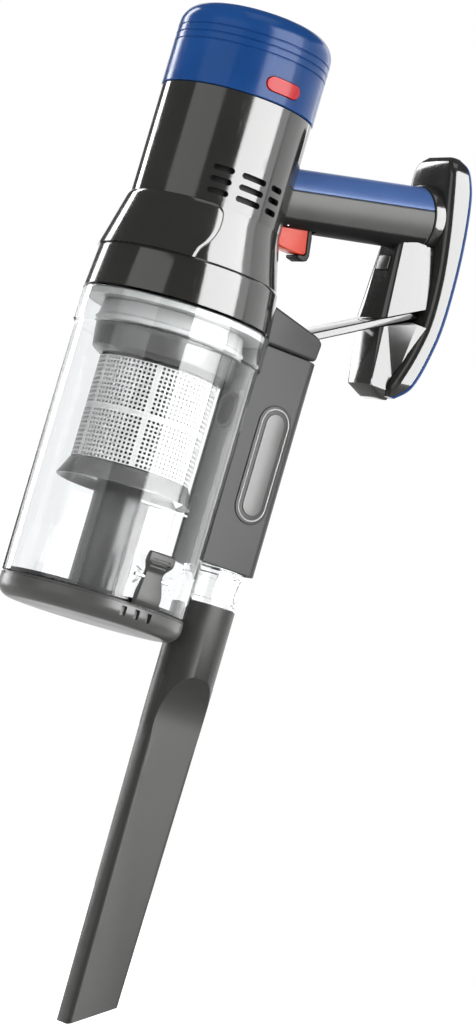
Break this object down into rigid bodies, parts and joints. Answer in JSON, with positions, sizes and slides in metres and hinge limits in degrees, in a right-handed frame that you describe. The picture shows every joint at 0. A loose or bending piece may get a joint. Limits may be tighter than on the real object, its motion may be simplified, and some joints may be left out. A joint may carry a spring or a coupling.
{
  "type": "handheld vacuum",
  "caption": "Cordless cyclone handheld vacuum with a clear dust cup, a horizontal grip with a rear battery slab, and a long crevice nozzle.",
  "frame": {"origin": "centre of the flat underside of the dust-cup lid, on the motor axis", "axes": "+Z along the motor axis from the lid to the blue cap, +X towards the grip and the battery, -Y towards the red cap button and the lid latch"},
  "size_m": [0.2286, 0.1274, 0.5995],
  "materials": {
    "graphite_gloss": "glossy dark grey moulded plastic",
    "dark_plastic": "satin dark grey moulded plastic",
    "blue_plastic": "glossy blue moulded plastic",
    "red_plastic": "glossy red moulded plastic",
    "orange_plastic": "glossy red-orange moulded plastic",
    "satin_grey_plastic": "satin grey moulded plastic",
    "clear_plastic": "clear moulded plastic",
    "black_rubber": "soft black rubber",
    "bright_steel": "bright steel",
    "copper_winding": "lacquered copper",
    "circuit_board": "green solder resist",
    "cell_wrap": "shrink wrap over a battery cell",
    "filter_felt": "pleated felt and foam"
  },
  "bodies": {
    "main": {"motor_housing": "graphite_gloss", "shroud": "graphite_gloss", "base_plate": "dark_plastic", "inlet_funnel": "dark_plastic", "diffuser": "dark_plastic", "lower_bearing": "bright_steel", "motor_can": "bright_steel", "stator": "copper_winding", "upper_bearing": "bright_steel", "motor_bracket": "black_rubber", "control_board": "circuit_board", "handle_upper": "blue_plastic", "handle_lower": "graphite_gloss", "handle_collar": "graphite_gloss", "trigger_pin": "bright_steel", "trigger_switch": "dark_plastic", "trigger_spring": "bright_steel", "duct_head": "graphite_gloss", "dock_upper": "graphite_gloss", "dock_lower": "graphite_gloss", "dock_terminals": "copper_winding", "strut": "graphite_gloss"},
    "rotor": {"impeller": "dark_plastic", "rotor_magnet": "bright_steel", "rotor_shaft": "bright_steel"},
    "cap": {"rear_cap": "blue_plastic", "cap_button_spring": "bright_steel", "exhaust_filter": "filter_felt"},
    "cap_button": {"cap_button": "red_plastic"},
    "trigger": {"trigger": "orange_plastic", "trigger_pad": "black_rubber"},
    "battery": {"battery_case": "graphite_gloss", "battery_cover": "blue_plastic", "battery_cell_1": "cell_wrap", "battery_cell_2": "cell_wrap", "battery_cell_3": "cell_wrap", "battery_cell_4": "cell_wrap", "battery_board": "circuit_board"},
    "battery_release": {"battery_release": "dark_plastic"},
    "cup_release": {"cup_release": "dark_plastic"},
    "cup": {"dust_cup": "clear_plastic", "lid_hinge_pin": "bright_steel", "latch_pin": "bright_steel", "cyclone_flange": "dark_plastic", "cup_seal": "black_rubber", "cyclone_collar": "dark_plastic", "mesh_screen": "bright_steel", "cyclone_skirt": "dark_plastic", "dust_column": "dark_plastic", "pre_motor_filter": "filter_felt", "duct_cover": "graphite_gloss", "badge_plate": "graphite_gloss", "intake_pipe": "clear_plastic"},
    "lid": {"bin_lid": "dark_plastic", "lid_seal": "black_rubber"},
    "lid_latch": {"bin_latch": "dark_plastic"},
    "nozzle": {"crevice_nozzle": "satin_grey_plastic"},
    "nozzle_release": {"nozzle_release": "clear_plastic"}
  },
  "joints": [
    {"name": "rotor_spin", "type": "hinge", "parent": "main", "child": "rotor", "pos_m": [0, 0, 0.25], "axis": [0, 0, 1], "continuous": true},
    {"name": "cap_lift", "type": "slide", "parent": "main", "child": "cap", "axis": [0, 0, 1], "range_m": [0, 0.03]},
    {"name": "cap_button_press", "type": "slide", "parent": "cap", "child": "cap_button", "axis": [0, 1, 0], "range_m": [0, 0.002], "stiffness_N_per_m": 900},
    {"name": "trigger_pull", "type": "hinge", "parent": "main", "child": "trigger", "pos_m": [0.05105, 0, 0.26242], "axis": [0, -1, 0], "range_deg": [0, 9], "stiffness_Nm_per_rad": 1.2},
    {"name": "battery_pull", "type": "slide", "parent": "main", "child": "battery", "axis": [0.9781, 0, 0.2079], "range_m": [0, 0.03]},
    {"name": "battery_release_press", "type": "slide", "parent": "main", "child": "battery_release", "axis": [1, 0, 0], "range_m": [0, 0.002], "stiffness_N_per_m": 900},
    {"name": "cup_release_press", "type": "slide", "parent": "main", "child": "cup_release", "axis": [-1, 0, 0], "range_m": [0, 0.002], "stiffness_N_per_m": 900},
    {"name": "cup_drop", "type": "slide", "parent": "main", "child": "cup", "axis": [0, 0, -1], "range_m": [0, 0.06]},
    {"name": "lid_swing", "type": "hinge", "parent": "cup", "child": "lid", "pos_m": [0, 0.06, 0.0115], "axis": [1, 0, 0], "range_deg": [0, 90]},
    {"name": "lid_latch_press", "type": "hinge", "parent": "cup", "child": "lid_latch", "pos_m": [0, -0.0594, 0.03], "axis": [-1, 0, 0], "range_deg": [0, 12], "stiffness_Nm_per_rad": 0.6},
    {"name": "nozzle_pull", "type": "slide", "parent": "cup", "child": "nozzle", "axis": [0, 0, -1], "range_m": [0, 0.045]},
    {"name": "nozzle_release_press", "type": "slide", "parent": "cup", "child": "nozzle_release", "axis": [0, 1, 0], "range_m": [0, 0.0012], "stiffness_N_per_m": 900}
  ]
}
